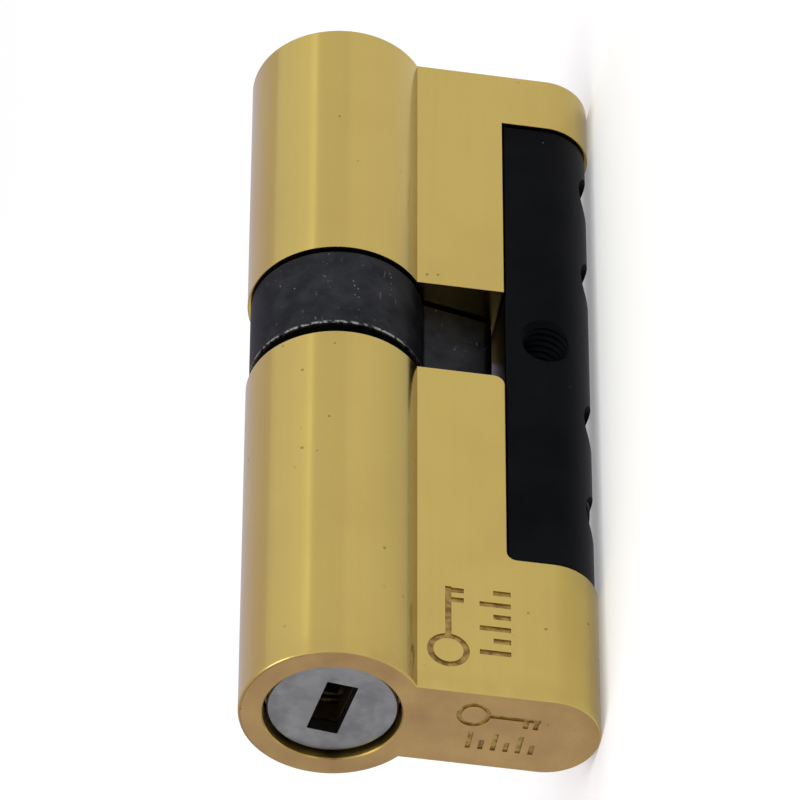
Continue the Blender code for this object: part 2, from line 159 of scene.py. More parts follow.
def polishedBrass():
    look = {
        "gold": (0.465, 0.350, 0.102),
        "warm": (0.400, 0.275, 0.090),
        "stain": (0.20, 0.12, 0.045),
        "roughness": 0.15,
        "frontStart": -42.0,  # mm along the plug axis, where handling has dulled the finish
        "frontEnd": -45.5,
    }
    material, tree = newMaterial("polishedBrass")
    cloud = tree.noise(11.0, 3.0)
    streak = tree.noise(0.55, 2.0, scale=(1, 0.02, 1))
    fineLine = tree.noise(0.12, 1.0, scale=(1, 0.012, 1))
    pits = tree.specks(2.1, 0.085) * tree.step(tree.noise(7.0), 0.5, 0.62)
    tinyPits = tree.specks(0.9, 0.07) * tree.step(tree.noise(3.5), 0.56, 0.66)
    along = tree.axes()[1]
    handled = tree.step(along, look["frontStart"], look["frontEnd"])
    dulled = handled * tree.step(tree.noise(2.6, 3.0), 0.36, 0.62)
    warmth = tree.step(cloud, 0.42, 0.72) * 0.30 + tree.step(streak, 0.45, 0.75) * 0.10 + dulled * 0.55
    gold = tree.mix(warmth.smaller(1.0), look["gold"], look["warm"])
    gold = tree.mix((pits + tinyPits * 0.6).smaller(1.0) * 0.7, gold, look["stain"])
    roughness = look["roughness"] + (streak - 0.5) * 0.05 + tree.step(cloud, 0.4, 0.8) * 0.05
    roughness = roughness + dulled * 0.08 + pits * 0.2
    waves = tree.bump(tree.noise(9.0, 1.0, scale=(1, 0.35, 1)), 0.00004)
    drawn = tree.bump(fineLine, 0.0000022, waves)
    worn = tree.bump(1 - pits.larger(tinyPits), 0.00003, drawn)
    tree.shader({"Base Color": gold, "Roughness": roughness, "Metallic": 1.0, "Normal": worn})
    return material


def keyFaceShadedBrass():
    # the key face's tan and brown are darker than the flanks' gold partly for a duller machined finish and
    # partly as painted shade, standing in for the darker surroundings the face reflects
    look = {
        "tan": (0.365, 0.240, 0.096),
        "brown": (0.275, 0.172, 0.074),
        "mark": (0.10, 0.07, 0.035),
        "roughness": 0.30,
    }
    material, tree = newMaterial("keyFaceShadedBrass")
    cloud = tree.noise(5.0, 4.0)
    lapped = tree.noise(0.16, 2.0, scale=(0.05, 1, 1), roughness=0.6)
    marks = tree.specks(1.5, 0.10) * tree.step(tree.noise(3.0), 0.52, 0.62)
    colour = tree.mix(tree.step(cloud, 0.35, 0.75), look["tan"], look["brown"])
    colour = tree.mix(marks * 0.6, colour, look["mark"])
    roughness = look["roughness"] + (cloud - 0.5) * 0.18 + (lapped - 0.5) * 0.08
    flat = tree.bump(lapped, 0.000003)
    worn = tree.bump(1 - marks, 0.00002, flat)
    tree.shader({"Base Color": colour, "Roughness": roughness, "Metallic": 1.0, "Normal": worn})
    return material


def markBrass():  # the floor of the engraved strokes, where polish and grime collect
    look = {"brass": (0.33, 0.225, 0.070), "grime": (0.17, 0.105, 0.040), "roughness": 0.34}
    material, tree = newMaterial("markBrass")
    grime = tree.step(tree.noise(0.7, 3.0), 0.38, 0.66)
    colour = tree.mix(grime, look["brass"], look["grime"])
    roughness = look["roughness"] + grime * 0.15
    tree.shader({"Base Color": colour, "Roughness": roughness, "Metallic": 1.0})
    return material


def boreBrass():
    look = {"brass": (0.42, 0.29, 0.075), "oil": (0.14, 0.09, 0.03), "roughness": 0.34}
    material, tree = newMaterial("boreBrass")
    cloud = tree.noise(3.0, 4.0)
    rings = tree.noise(0.2, 1.0, scale=(0.1, 1, 0.1))
    colour = tree.mix(tree.step(cloud, 0.4, 0.7), look["brass"], look["oil"])
    roughness = look["roughness"] + (rings - 0.5) * 0.2
    grained = tree.bump(rings, 0.000006)
    tree.shader({"Base Color": colour, "Roughness": roughness, "Metallic": 1.0, "Normal": grained})
    return material


def shadedCodeDiscBrass():
    # the discs' brass and dark tones are painted shade: the discs are brass like the housing, darkened in
    # colour for the shade deep inside the plug
    look = {"brass": (0.33, 0.24, 0.10), "dark": (0.16, 0.11, 0.05), "roughness": 0.36}
    material, tree = newMaterial("shadedCodeDiscBrass")
    cloud = tree.noise(1.8, 3.0)
    stamped = tree.noise(0.25, 3.0)
    colour = tree.mix(tree.step(cloud, 0.35, 0.75) * 0.7, look["brass"], look["dark"])
    roughness = look["roughness"] + (stamped - 0.5) * 0.16
    grained = tree.bump(stamped, 0.000006)
    tree.shader({"Base Color": colour, "Roughness": roughness, "Metallic": 1.0, "Normal": grained})
    return material


def satinBlackSteel():
    look = {
        "black": (0.0034, 0.0037, 0.0046),
        "grey": (0.0075, 0.0080, 0.0092),
        "bare": (0.16, 0.16, 0.165),
        "sheen": (0.75, 0.75, 0.77, 1.0),
        "roughness": 0.36,
    }
    material, tree = newMaterial("satinBlackSteel")
    cloud = tree.noise(6.0, 4.0)
    grain = tree.noise(0.22, 3.0, roughness=0.65)
    nicks = tree.specks(2.6, 0.045) * tree.step(tree.noise(5.0), 0.53, 0.6)
    colour = tree.mix(tree.step(cloud, 0.38, 0.75) * 0.6, look["black"], look["grey"])
    colour = tree.mix(nicks * 0.5, colour, look["bare"])
    roughness = look["roughness"] + (cloud - 0.5) * 0.14 + (grain - 0.5) * 0.10
    soft = tree.bump(grain, 0.000005)
    tree.shader({
        "Base Color": colour,
        "Roughness": roughness,
        "Metallic": 1.0,
        "Specular Tint": look["sheen"],
        "Normal": tree.bump(1 - nicks, 0.00002, soft),
    })
    return material


def blackenedCamSteel(wornEdgeY):
    look = {
        "black": (0.017, 0.0175, 0.0195),
        "grey": (0.036, 0.037, 0.042),
        "bare": (0.34, 0.335, 0.33),
        "sheen": (0.6, 0.6, 0.62, 1.0),
        "roughness": 0.46,
        "edgeReach": 0.34,  # mm back from the edge that rubs on the outer half
        "rimStart": 7.95,  # mm from the plug axis
        "rimFull": 8.05,
    }
    material, tree = newMaterial("blackenedCamSteel")
    cloud = tree.noise(2.4, 5.0, roughness=0.62)
    grain = tree.noise(0.16, 3.0, roughness=0.7)
    flecks = tree.specks(0.62, 0.16) * tree.step(tree.noise(1.6, 2.0), 0.53, 0.60)
    rubbed = tree.noise(0.5, 3.0, scale=(1, 0.35, 1))
    scuffs = tree.step(rubbed, 0.66, 0.72) * tree.step(tree.noise(4.0), 0.5, 0.6)
    x, y, z = tree.axes()
    edge = tree.step((y - wornEdgeY).size(), look["edgeReach"], 0.5 * look["edgeReach"])
    fromAxis = (x * x + z * z) ** 0.5
    edge = edge * tree.step(fromAxis, look["rimStart"], look["rimFull"])
    edge = edge * tree.step(tree.noise(0.35, 3.0), 0.42, 0.56)
    colour = tree.mix(tree.step(cloud, 0.36, 0.70), look["black"], look["grey"])
    bare = (flecks * 0.45 + scuffs * 0.25).larger(edge * 0.85).smaller(1.0)
    colour = tree.mix(bare, colour, look["bare"])
    roughness = look["roughness"] + (cloud - 0.5) * 0.24 - edge * 0.12
    rough = tree.bump(grain, 0.000012)
    tree.shader({
        "Base Color": colour,
        "Roughness": roughness,
        "Metallic": 1.0,
        "Specular Tint": look["sheen"],
        "Normal": rough,
    })
    return material


def shieldSteel():
    look = {"light": (0.212, 0.213, 0.216), "dark": (0.145, 0.146, 0.15), "roughness": 0.30}
    material, tree = newMaterial("shieldSteel")
    cloud = tree.noise(2.7, 3.0)
    fog = tree.noise(0.9, 4.0, roughness=0.6)
    ground = tree.noise(0.10, 2.0, scale=(0.06, 1, 1))
    colour = tree.mix(tree.step(cloud * 0.7 + fog * 0.3, 0.40, 0.62), look["light"], look["dark"])
    roughness = look["roughness"] + (fog - 0.5) * 0.2 + (ground - 0.5) * 0.06
    grained = tree.bump(ground, 0.000002)
    tree.shader({"Base Color": colour, "Roughness": roughness, "Metallic": 1.0, "Normal": grained})
    return material


def rotorSteel():
    look = {"light": (0.34, 0.34, 0.35), "dark": (0.14, 0.13, 0.13), "roughness": 0.36}
    material, tree = newMaterial("rotorSteel")
    cloud = tree.noise(1.5, 4.0)
    turned = tree.noise(0.14, 1.0, scale=(0.1, 1, 0.1))
    colour = tree.mix(tree.step(cloud, 0.40, 0.75) * 0.6, look["light"], look["dark"])
    roughness = look["roughness"] + (turned - 0.5) * 0.2
    grained = tree.bump(turned, 0.000004)
    tree.shader({"Base Color": colour, "Roughness": roughness, "Metallic": 1.0, "Normal": grained})
    return material


def clipSteel():
    look = {"blue": (0.20, 0.205, 0.225), "straw": (0.30, 0.26, 0.20), "roughness": 0.28}
    material, tree = newMaterial("clipSteel")
    cloud = tree.noise(2.0, 3.0)
    grain = tree.noise(0.2, 2.0)
    colour = tree.mix(tree.step(cloud, 0.4, 0.7), look["blue"], look["straw"])
    roughness = look["roughness"] + (grain - 0.5) * 0.15
    grained = tree.bump(grain, 0.000003)
    tree.shader({"Base Color": colour, "Roughness": roughness, "Metallic": 1.0, "Normal": grained})
    return material


def startPoint(shape, x, y, z):
    return shape.verts.new((x, y, z))


def sweepPoint(shape, point, centre, angle, steps):  # drags a point round an axis along Y, leaving edges
    swept = bmesh.ops.spin(shape, geom=[point], cent=centre, axis=(0, 1, 0), angle=-angle, steps=steps)
    return swept["geom_last"][0]


def join(shape, *points):  # straight edges from point to point
    for first, second in zip(points, points[1:]):
        shape.edges.new((first, second))


def fillLoop(shape, edges):
    return bmesh.ops.contextual_create(shape, geom=edges)["faces"][0]


def pushFace(shape, face, distance):  # extrudes along Y and returns the moved face
    onBody = any(len(edge.link_faces) > 1 for edge in face.edges)
    grown = bmesh.ops.extrude_face_region(shape, geom=[face])["geom"]
    points = [item for item in grown if isinstance(item, bmesh.types.BMVert)]
    bmesh.ops.translate(shape, verts=points, vec=(0, distance, 0))
    if onBody:
        bmesh.ops.delete(shape, geom=[face], context="FACES_ONLY")
    return [item for item in grown if isinstance(item, bmesh.types.BMFace)][0]


def roundEdges(shape, edges, width, segments=3):
    bmesh.ops.bevel(
        shape, geom=list(edges), offset=width * mm, offset_type="OFFSET", affect="EDGES",
        segments=segments, profile=0.5, material=-1, clamp_overlap=True,
    )


def edgesWhere(shape, test):  # the test gets both ends of an edge, in millimetres
    return [edge for edge in shape.edges if test(edge.verts[0].co / mm, edge.verts[1].co / mm)]


def acrossAt(shape, y, z):  # the edges that cross the piece at one place along it and one height
    def there(first, last):
        return all(abs(end.y - y) + abs(end.z - z) < samePlace for end in (first, last))

    return edgesWhere(shape, there)


def cornerEdges(shape, sharpest=35):  # outward corners
    inside = [edge for edge in shape.edges if len(edge.link_faces) == 2]
    return [edge for edge in inside if edge.calc_face_angle_signed() > radians(sharpest)]


def cleanUp(shape):
    bmesh.ops.remove_doubles(shape, verts=shape.verts, dist=0.0005 * mm)
    bmesh.ops.recalc_face_normals(shape, faces=shape.faces)


def makePiece(name, shape, materials):
    mesh = bpy.data.meshes.new(name)
    shape.to_mesh(mesh)
    shape.free()
    piece = bpy.data.objects.new(name, mesh)
    bpy.context.scene.collection.objects.link(piece)
    for material in materials:
        mesh.materials.append(material)
    return piece


def carve(piece, cutters, operation="DIFFERENCE"):  # cuts each shape out of the piece, or joins it on
    tools = [makePiece("cutter", cutter, []) for cutter in cutters]
    for tool in tools:
        modifier = piece.modifiers.new("carve", "BOOLEAN")
        modifier.operation = operation
        modifier.solver = "EXACT"
        modifier.object = tool
    settle(piece)
    for tool in tools:
        bpy.data.objects.remove(tool)


def settle(piece):  # makes a piece's modifiers its real mesh
    graph = bpy.context.evaluated_depsgraph_get()
    mesh = bpy.data.meshes.new_from_object(piece.evaluated_get(graph))
    piece.modifiers.clear()
    piece.data = mesh


def smoothOff(piece, sharpest=32, largeFlat=14):  # a flat face over so many square mm keeps its own direction
    piece.data.shade_smooth()
    for polygon in piece.data.polygons:
        if polygon.area > largeFlat * mm**2 and max(abs(part) for part in polygon.normal) > squareOn:
            polygon.use_smooth = False
    piece.data.set_sharp_from_angle(angle=radians(sharpest))
    weighted = piece.modifiers.new("evenShading", "WEIGHTED_NORMAL")
    weighted.keep_sharp = True
    weighted.weight = 80
    settle(piece)


def turnedBody(profile, axis, steps, place=(0, 0, 0)):  # (radius, distance) in mm, turned about X, Y or Z
    across = Vector((1, 0, 0)) if axis == "Y" else Vector((0, 1, 0))
    along = Vector([float(axis == letter) for letter in "XYZ"])
    shape = bmesh.new()
    points = [shape.verts.new((across * radius + along * distance) * mm) for radius, distance in profile]
    join(shape, *points)
    line = list(shape.verts) + list(shape.edges)
    bmesh.ops.spin(shape, geom=line, cent=(0, 0, 0), axis=along, angle=fullTurn, steps=steps, use_merge=True)
    cleanUp(shape)
    bmesh.ops.translate(shape, verts=shape.verts, vec=Vector(place) * mm)
    return shape


def block(low, high):  # corners in mm
    shape = bmesh.new()
    size, middle = Vector(high) - Vector(low), (Vector(high) + Vector(low)) / 2
    bmesh.ops.create_cube(shape, size=1.0)
    bmesh.ops.scale(shape, vec=size * mm, verts=shape.verts)
    bmesh.ops.translate(shape, vec=middle * mm, verts=shape.verts)
    return shape


marks = {  # a plain key pictogram and a row of strokes, in mm
    "depth": 0.14,
    "bowRadius": 1.45,
    "line": 0.5,
    "shank": 5.2,
    "teeth": (3.6, 4.6),
    "toothReach": 1.0,
    "keyLine": 1.9,  # height of the key's shank above the middle of the drawing
    "strokes": 6,
    "strokePitch": 1.25,
    "strokeLong": 2.5,
    "strokeShort": 1.4,
    "strokeFoot": -3.1,
}


def markCutters():  # drawn in the X-Y plane, sunk into a face at z = 0 that looks along +Z, centred, in mm
    line, depth, keyLine = marks["line"], marks["depth"], marks["keyLine"]
    half = line / 2
    bow, foot = marks["bowRadius"], marks["strokeFoot"]
    start = -(bow + marks["shank"]) / 2 + bow / 2
    thin, wide = bow - half, bow + half
    ring = [(thin, -depth), (wide, -depth), (wide, overrun), (thin, overrun), (thin, -depth)]
    cutters = [turnedBody(ring, "Z", 48, (start - bow / 2, keyLine, 0))]
    shankStart = start + bow / 2
    shankEnd = shankStart + marks["shank"]
    cutters.append(block((shankStart, keyLine - half, -depth), (shankEnd, keyLine + half, overrun)))
    for tooth in marks["teeth"]:
        left = shankStart + tooth
        toothEnd = keyLine - half - marks["toothReach"]
        cutters.append(block((left, toothEnd, -depth), (left + line, keyLine, overrun)))
    first = -marks["strokePitch"] * (marks["strokes"] - 1) / 2
    for index in range(marks["strokes"]):
        along = first + index * marks["strokePitch"]
        long = marks["strokeLong"] if index % 2 == 0 else marks["strokeShort"]
        cutters.append(block((along - half, foot, -depth), (along + half, foot + long, overrun)))
    return cutters


def layMarks(turn, place, stretch=1.0):  # turns the drawing onto a face of the leg
    laid = []
    for cutter in markCutters():
        bmesh.ops.scale(cutter, verts=cutter.verts, vec=(stretch, stretch, 1))
        bmesh.ops.rotate(cutter, verts=cutter.verts, cent=(0, 0, 0), matrix=turn)
        bmesh.ops.translate(cutter, verts=cutter.verts, vec=Vector(place) * mm)
        laid.append(cutter)
    return laid


housing = {  # mm, from the plug axis and the fixing screw; the outer half is on the side of -Y
    "barrel": 8.5,
    "legHalf": 5.0,
    "legArcZ": -19.5,
    "outerFace": 45.0,
    "innerFace": 35.0,
    "camGap": 5.45,
    "bore": 6.3,
    "web": 2.0,
    "webHole": 4.8,
    "seatEnd": 28.38,
    "seatZ": -15.22,
    "edge": 0.2,
    "faceEdge": 0.28,
    "seatCorner": 0.9,  # milled corner of the bar seat on the outer half
    "gapCorner": 1.1,
    "boreChamfer": 0.12,
    "grooveHalf": 1.2,
    "grooveReach": 7.6,
    "plugDepth": 1.9,  # plug recess and shield disc together
    "tapping": 1.7,
    "tappingTop": -9.3,
    "screws": (-7.6, -19.1, 11.1, 22.6),
    "onFace": (0.3, -15.6),  # middle of the marks on the key face, across and up
    "onFlank": (-36.4, -11.9),  # middle of the marks on the flank, along and up
    "markClear": 8.0,  # no mark comes nearer to the plug axis
    "faceBand": 0.4,  # the key face's finish, darker partly as painted shade, reaches this far back over its rounded edge
}


def housingShape(side, face):
    half, barrel, seatZ = housing["legHalf"], housing["barrel"], housing["seatZ"]
    junction = asin(half / barrel)
    junctionZ = -sqrt(barrel**2 - half**2)
    near, seat, gap = (side * distance * mm for distance in (face, housing["seatEnd"], housing["camGap"]))
    shape = bmesh.new()
    right = startPoint(shape, half * mm, near, junctionZ * mm)
    left = sweepPoint(shape, right, (0, near, 0), fullTurn - 2 * junction, 176)
    seatLeft = startPoint(shape, -half * mm, near, seatZ * mm)
    footLeft = startPoint(shape, -half * mm, near, housing["legArcZ"] * mm)
    footRight = sweepPoint(shape, footLeft, (0, near, housing["legArcZ"] * mm), pi, 72)
    seatRight = startPoint(shape, half * mm, near, seatZ * mm)
    join(shape, left, seatLeft, footLeft)
    join(shape, footRight, seatRight, right)
    join(shape, seatLeft, seatRight)
    above, below = seatZ - samePlace, seatZ + samePlace
    upper = fillLoop(shape, edgesWhere(shape, lambda first, last: min(first.z, last.z) > above))
    lower = fillLoop(shape, edgesWhere(shape, lambda first, last: max(first.z, last.z) < below))
    grown = bmesh.ops.extrude_face_region(shape, geom=[upper, lower])["geom"]
    points = [item for item in grown if isinstance(item, bmesh.types.BMVert)]
    bmesh.ops.translate(shape, verts=points, vec=(0, seat - near, 0))
    caps = [item for item in grown if isinstance(item, bmesh.types.BMFace)]
    pushFace(shape, max(caps, key=lambda cap: cap.calc_center_median().z), gap - seat)
    cleanUp(shape)
    inside = [edge for edge in shape.edges if len(edge.link_faces) == 2]
    flush = [edge for edge in inside if edge.calc_face_angle() < radians(0.1)]
    bmesh.ops.dissolve_edges(shape, edges=flush, use_verts=True)
    return shape


def finishHousing(shape, side, face):
    seatEnd, seatZ, gap = side * housing["seatEnd"], housing["seatZ"], side * housing["camGap"]
    if side < 0:
        roundEdges(shape, acrossAt(shape, seatEnd, seatZ), housing["seatCorner"], 6)
        roundEdges(shape, acrossAt(shape, gap, seatZ), housing["gapCorner"], 6)
    faceEdges = [
        edge for edge in cornerEdges(shape)
        if all(abs(point.co.y / mm - side * face) < samePlace for point in edge.verts)
    ]
    roundEdges(shape, faceEdges, housing["faceEdge"])
    roundEdges(shape, cornerEdges(shape, 50), housing["edge"] if side < 0 else 0.6 * housing["edge"], 2)
    cleanUp(shape)


def housingCutters(side, face):
    bore, chamfer, gap = housing["bore"], housing["boreChamfer"], housing["camGap"]
    webEnd = gap + housing["web"]
    hole = housing["webHole"]
    mouth = [
        (0, webEnd), (bore, webEnd), (bore, face - chamfer), (bore + chamfer, face),
        (bore + 0.5, face + overrun), (0, face + overrun),
    ]
    throat = [
        (0, gap - overrun), (hole + 0.6, gap - 0.6), (hole, gap + 0.2),
        (hole, webEnd + 0.6), (0, webEnd + 0.6),
    ]
    cutters = []
    for profile in (mouth, throat):
        turned = [(radius, side * along) for radius, along in profile]
        cutters.append(turnedBody(turned, "Y", 144))
    grooveEnds = sorted((side * webEnd, side * (face - housing["plugDepth"])))
    half = housing["grooveHalf"]
    cutters.append(block((-half, grooveEnds[0], -housing["grooveReach"]), (half, grooveEnds[1], 0)))
    wide, foot, top = housing["tapping"], housing["seatZ"] - overrun, housing["tappingTop"]
    tapping = [(0, foot), (wide, foot), (wide, top), (0, top + 0.8)]  # with a drill's pointed end
    for y in housing["screws"]:
        if y * side > 0:
            cutters.append(turnedBody(tapping, "Z", 32, (0, y, 0)))
    return cutters


def housingMarks():  # only the outer half is marked, on its key face and on its right flank
    toFace = Matrix.Rotation(radians(90), 3, "Y") @ Matrix.Rotation(radians(90), 3, "X")
    toFlank = Matrix.Rotation(radians(90), 3, "Z") @ Matrix.Rotation(radians(90), 3, "X")
    across, faceUp = housing["onFace"]
    along, flankUp = housing["onFlank"]
    onFace = layMarks(toFace, (across, -housing["outerFace"], faceUp), 0.92)
    onFlank = layMarks(toFlank, (housing["legHalf"], along, flankUp), 1.15)
    return onFace + onFlank


def makeHousing(name, side, face, materials):
    shape = housingShape(side, face)
    finishHousing(shape, side, face)
    piece = makePiece(name, shape, materials)
    carve(piece, housingCutters(side, face) + (housingMarks() if side < 0 else []))
    paintHousing(piece, side, face)
    smoothOff(piece)
    return piece


def paintHousing(piece, side, face):  # key face (darker brass, partly painted shade), bore, engraved strokes and the rest take four finishes
    keyFace, bore, stroke = 1, 2, 3
    clear = housing["markClear"]
    facing = 0.9  # a face above this looks mostly along Y
    for polygon in piece.data.polygons:
        middle = polygon.center / mm
        radius = sqrt(middle.x**2 + middle.z**2)
        depth = face - side * middle.y
        alongY = abs(polygon.normal.y)
        atFaceDepth = abs(depth - marks["depth"]) < samePlace
        atFlankDepth = abs(middle.x - housing["legHalf"] + marks["depth"]) < samePlace
        sunkFace = atFaceDepth and alongY > facing and radius > clear
        sunkFlank = atFlankDepth and polygon.normal.x > 0.999 and housing["legArcZ"] < middle.z < -clear
        if sunkFace or sunkFlank:
            polygon.material_index = stroke
        elif alongY > facing and depth < housing["faceBand"]:
            polygon.material_index = keyFace
        elif radius < housing["grooveReach"] + 0.1 and depth > samePlace and alongY < facing:
            polygon.material_index = bore


bar = {  # mm
    "halfLength": 28.3,
    "halfWidth": 4.72,
    "topZ": -15.3,
    "arcZ": -19.5,
    "edge": 0.3,
    "endCorner": 0.9,
    "holeZ": -19.35,
    "threadRadius": 2.5,
    "threadRoot": 2.08,
    "threadPitch": 0.8,
    "mouth": 2.68,
    "counterbore": 3.1,
    "counterboreTop": -19.3,
    "counterboreFoot": -26,  # below the bar, so that the cutter comes right out
    "clearance": 1.7,
    "threadRun": 0.6,  # how far the thread's cutter stands past each flank
}


def barShape():
    half, length = bar["halfWidth"], bar["halfLength"]
    shape = bmesh.new()
    left = startPoint(shape, -half * mm, -length * mm, bar["arcZ"] * mm)
    right = sweepPoint(shape, left, (0, -length * mm, bar["arcZ"] * mm), pi, 72)
    topRight = startPoint(shape, half * mm, -length * mm, bar["topZ"] * mm)
    topLeft = startPoint(shape, -half * mm, -length * mm, bar["topZ"] * mm)
    join(shape, right, topRight, topLeft, left)
    pushFace(shape, fillLoop(shape, list(shape.edges)), 2 * length * mm)
    cleanUp(shape)
    roundEdges(shape, acrossAt(shape, -length, bar["topZ"]), bar["endCorner"], 6)
    roundEdges(shape, cornerEdges(shape, 50), bar["edge"], 3)
    cleanUp(shape)
    return shape


def threadCutter():  # a screw form along X, longer than the bar is wide
    pitch, outer, root = bar["threadPitch"], bar["threadRadius"], bar["threadRoot"]
    reach = bar["halfWidth"] + bar["threadRun"]
    turns, steps = int(2 * (reach + 2 * pitch) / pitch), 32
    ridge = [(root, 0), (root, 0.1), (outer, 0.42), (outer, 0.52), (root, 0.8)]
    shape = bmesh.new()
    start = -reach - 2 * pitch
    points = [startPoint(shape, (start + along) * mm, radius * mm, 0) for radius, along in ridge]
    join(shape, *points)
    line = list(shape.verts) + list(shape.edges)
    advance = (pitch * mm / steps, 0, 0)
    bmesh.ops.spin(
        shape, geom=line, cent=(0, 0, 0), axis=(1, 0, 0), dvec=advance,
        angle=fullTurn * turns, steps=steps * turns,
    )
    bmesh.ops.remove_doubles(shape, verts=shape.verts, dist=0.002 * mm)
    for hand in (-1, 1):
        everything = list(shape.verts) + list(shape.edges) + list(shape.faces)
        bmesh.ops.bisect_plane(
            shape, geom=everything, plane_co=(hand * reach * mm, 0, 0), plane_no=(hand, 0, 0),
            clear_outer=True,
        )
    rims = [edge for edge in shape.edges if len(edge.link_faces) == 1]
    for hand in (-1, 1):
        fillLoop(shape, [edge for edge in rims if edge.verts[0].co.x * hand > 0])
    cleanUp(shape)
    bmesh.ops.translate(shape, verts=shape.verts, vec=(0, 0, bar["holeZ"] * mm))
    return shape


def barCutters():
    cutters = [threadCutter()]
    half, mouth, root = bar["halfWidth"], bar["mouth"], bar["threadRoot"]
    for hand in (-1, 1):
        funnel = [(0, half + overrun), (mouth + 0.8, half + 0.8), (mouth, half)]
        funnel += [(root, half - 0.5), (0, half - 0.5)]
        turned = [(radius, hand * along) for radius, along in funnel]
        cutters.append(turnedBody(turned, "X", 64, (0, 0, bar["holeZ"])))
    wide, narrow = bar["counterbore"], bar["clearance"]
    foot, shelf, top = bar["counterboreFoot"], bar["counterboreTop"], bar["topZ"] + overrun
    stepped = [(0, foot), (wide, foot), (wide, shelf), (narrow, shelf), (narrow, top), (0, top)]
    for y in housing["screws"]:
        cutters.append(turnedBody(stepped, "Z", 64, (0, y, 0)))
    return cutters


def makeBar(material):
    piece = makePiece("connectingBar", barShape(), [material])
    carve(piece, barCutters())
    smoothOff(piece)
    return piece


screw = {  # mm, one M3 cap screw
    "headEnd": -22.6,
    "headHeight": 3.0,
    "headRadius": 2.75,
    "shankRadius": 1.5,
    "shank": 10.0,
    "chamfer": 0.25,
    "socket": 1.45,
    "socketDepth": 1.4,
    "drops": (0.0, 0.9, 0.0, 0.0),  # the second isn't driven fully home
}


def makeScrew(index, y, drop, material):
    end = screw["headEnd"] - drop
    top = end + screw["headHeight"]
    head, shank, chamfer = screw["headRadius"], screw["shankRadius"], screw["chamfer"]
    tip = top + screw["shank"]
    profile = [
        (0, end), (head - chamfer, end), (head, end + chamfer), (head, top), (shank, top),
        (shank, tip - 0.5), (shank - 0.5, tip), (0, tip),
    ]
    piece = makePiece(f"barScrew{index}", turnedBody(profile, "Z", 64, (0, y, 0)), [material])
    across = screw["socket"]
    mouth, floor = end - overrun, end + screw["socketDepth"]
    socket = [(0, mouth), (across + 0.3, mouth), (across, end + 0.15), (across, floor), (0, floor + 0.5)]
    carve(piece, [turnedBody(socket, "Z", 6, (0, y, 0))])
    smoothOff(piece)
    return piece


camSizes = {  # mm
    "turn": 12,  # degrees that the lever leans at rest
    "radius": 8.2,
    "start": -4.15,
    "end": 5.05,
    "bore": 5.7,
    "leverHalf": 3.9,
    "leverTip": 14.9,
    "tipCorner": 2.2,
    "fillet": 1.0,
    "edge": 0.32,
    "keywayHalf": 1.6,
    "keywayReach": 6.8,
}


def camShape():
    radius, half, tip = camSizes["radius"], camSizes["leverHalf"], camSizes["leverTip"]
    start, end = camSizes["start"] * mm, camSizes["end"] * mm
    root = asin(half / radius)
    spread = asin(half / tip)
    shape = bmesh.new()
    right = startPoint(shape, half * mm, start, -sqrt(radius**2 - half**2) * mm)
    left = sweepPoint(shape, right, (0, start, 0), fullTurn - 2 * root, 160)
    tipLeft = startPoint(shape, -half * mm, start, -sqrt(tip**2 - half**2) * mm)
    tipRight = sweepPoint(shape, tipLeft, (0, start, 0), 2 * spread, 8)
    join(shape, left, tipLeft)
    join(shape, tipRight, right)
    pushFace(shape, fillLoop(shape, list(shape.edges)), end - start)
    cleanUp(shape)

    def lengthwise(low):  # edges along the lever's flanks, in the 2 mm above a height
        def chosen(first, last):
            onFlank = abs(abs(first.x) - half) + abs(first.x - last.x) < samePlace
            return onFlank and low < first.z < low + 2 and abs(first.y - last.y) > 1

        return edgesWhere(shape, chosen)

    roundEdges(shape, lengthwise(-tip), camSizes["tipCorner"], 8)
    roundEdges(shape, lengthwise(-radius), camSizes["fillet"], 6)
    roundEdges(shape, cornerEdges(shape, 50), camSizes["edge"], 3)
    cleanUp(shape)
    return shape


def makeCam(material):
    start, end, bore = camSizes["start"], camSizes["end"], camSizes["bore"]
    piece = makePiece("camRing", camShape(), [material])
    before, after = start - overrun, end + overrun
    hole = [
        (0, before), (bore + 0.5, start - 0.3), (bore, start + 0.2),
        (bore, end - 0.2), (bore + 0.5, end + 0.3), (0, after),
    ]
    reach, half = camSizes["keywayReach"], camSizes["keywayHalf"]
    carve(piece, [turnedBody(hole, "Y", 128), block((-reach, before, -half), (reach, after, half))])
    piece.data.transform(Matrix.Rotation(radians(camSizes["turn"]), 4, "Y"))
    smoothOff(piece)
    return piece


shield = {  # mm
    "radius": 5.95,
    "recess": 0.7,
    "thickness": 1.2,
    "edge": 0.14,
    "slotHalfLength": 3.3,
    "slotHalfWidth": 1.45,
    "slotCorner": 0.12,
    "lugRadii": (5.4, 5.8),
    "lugHalf": 1.0,
    "lugLength": 1.4,
    "outerTurn": 7.5,  # degrees that the outer disc's slot leans at rest
}


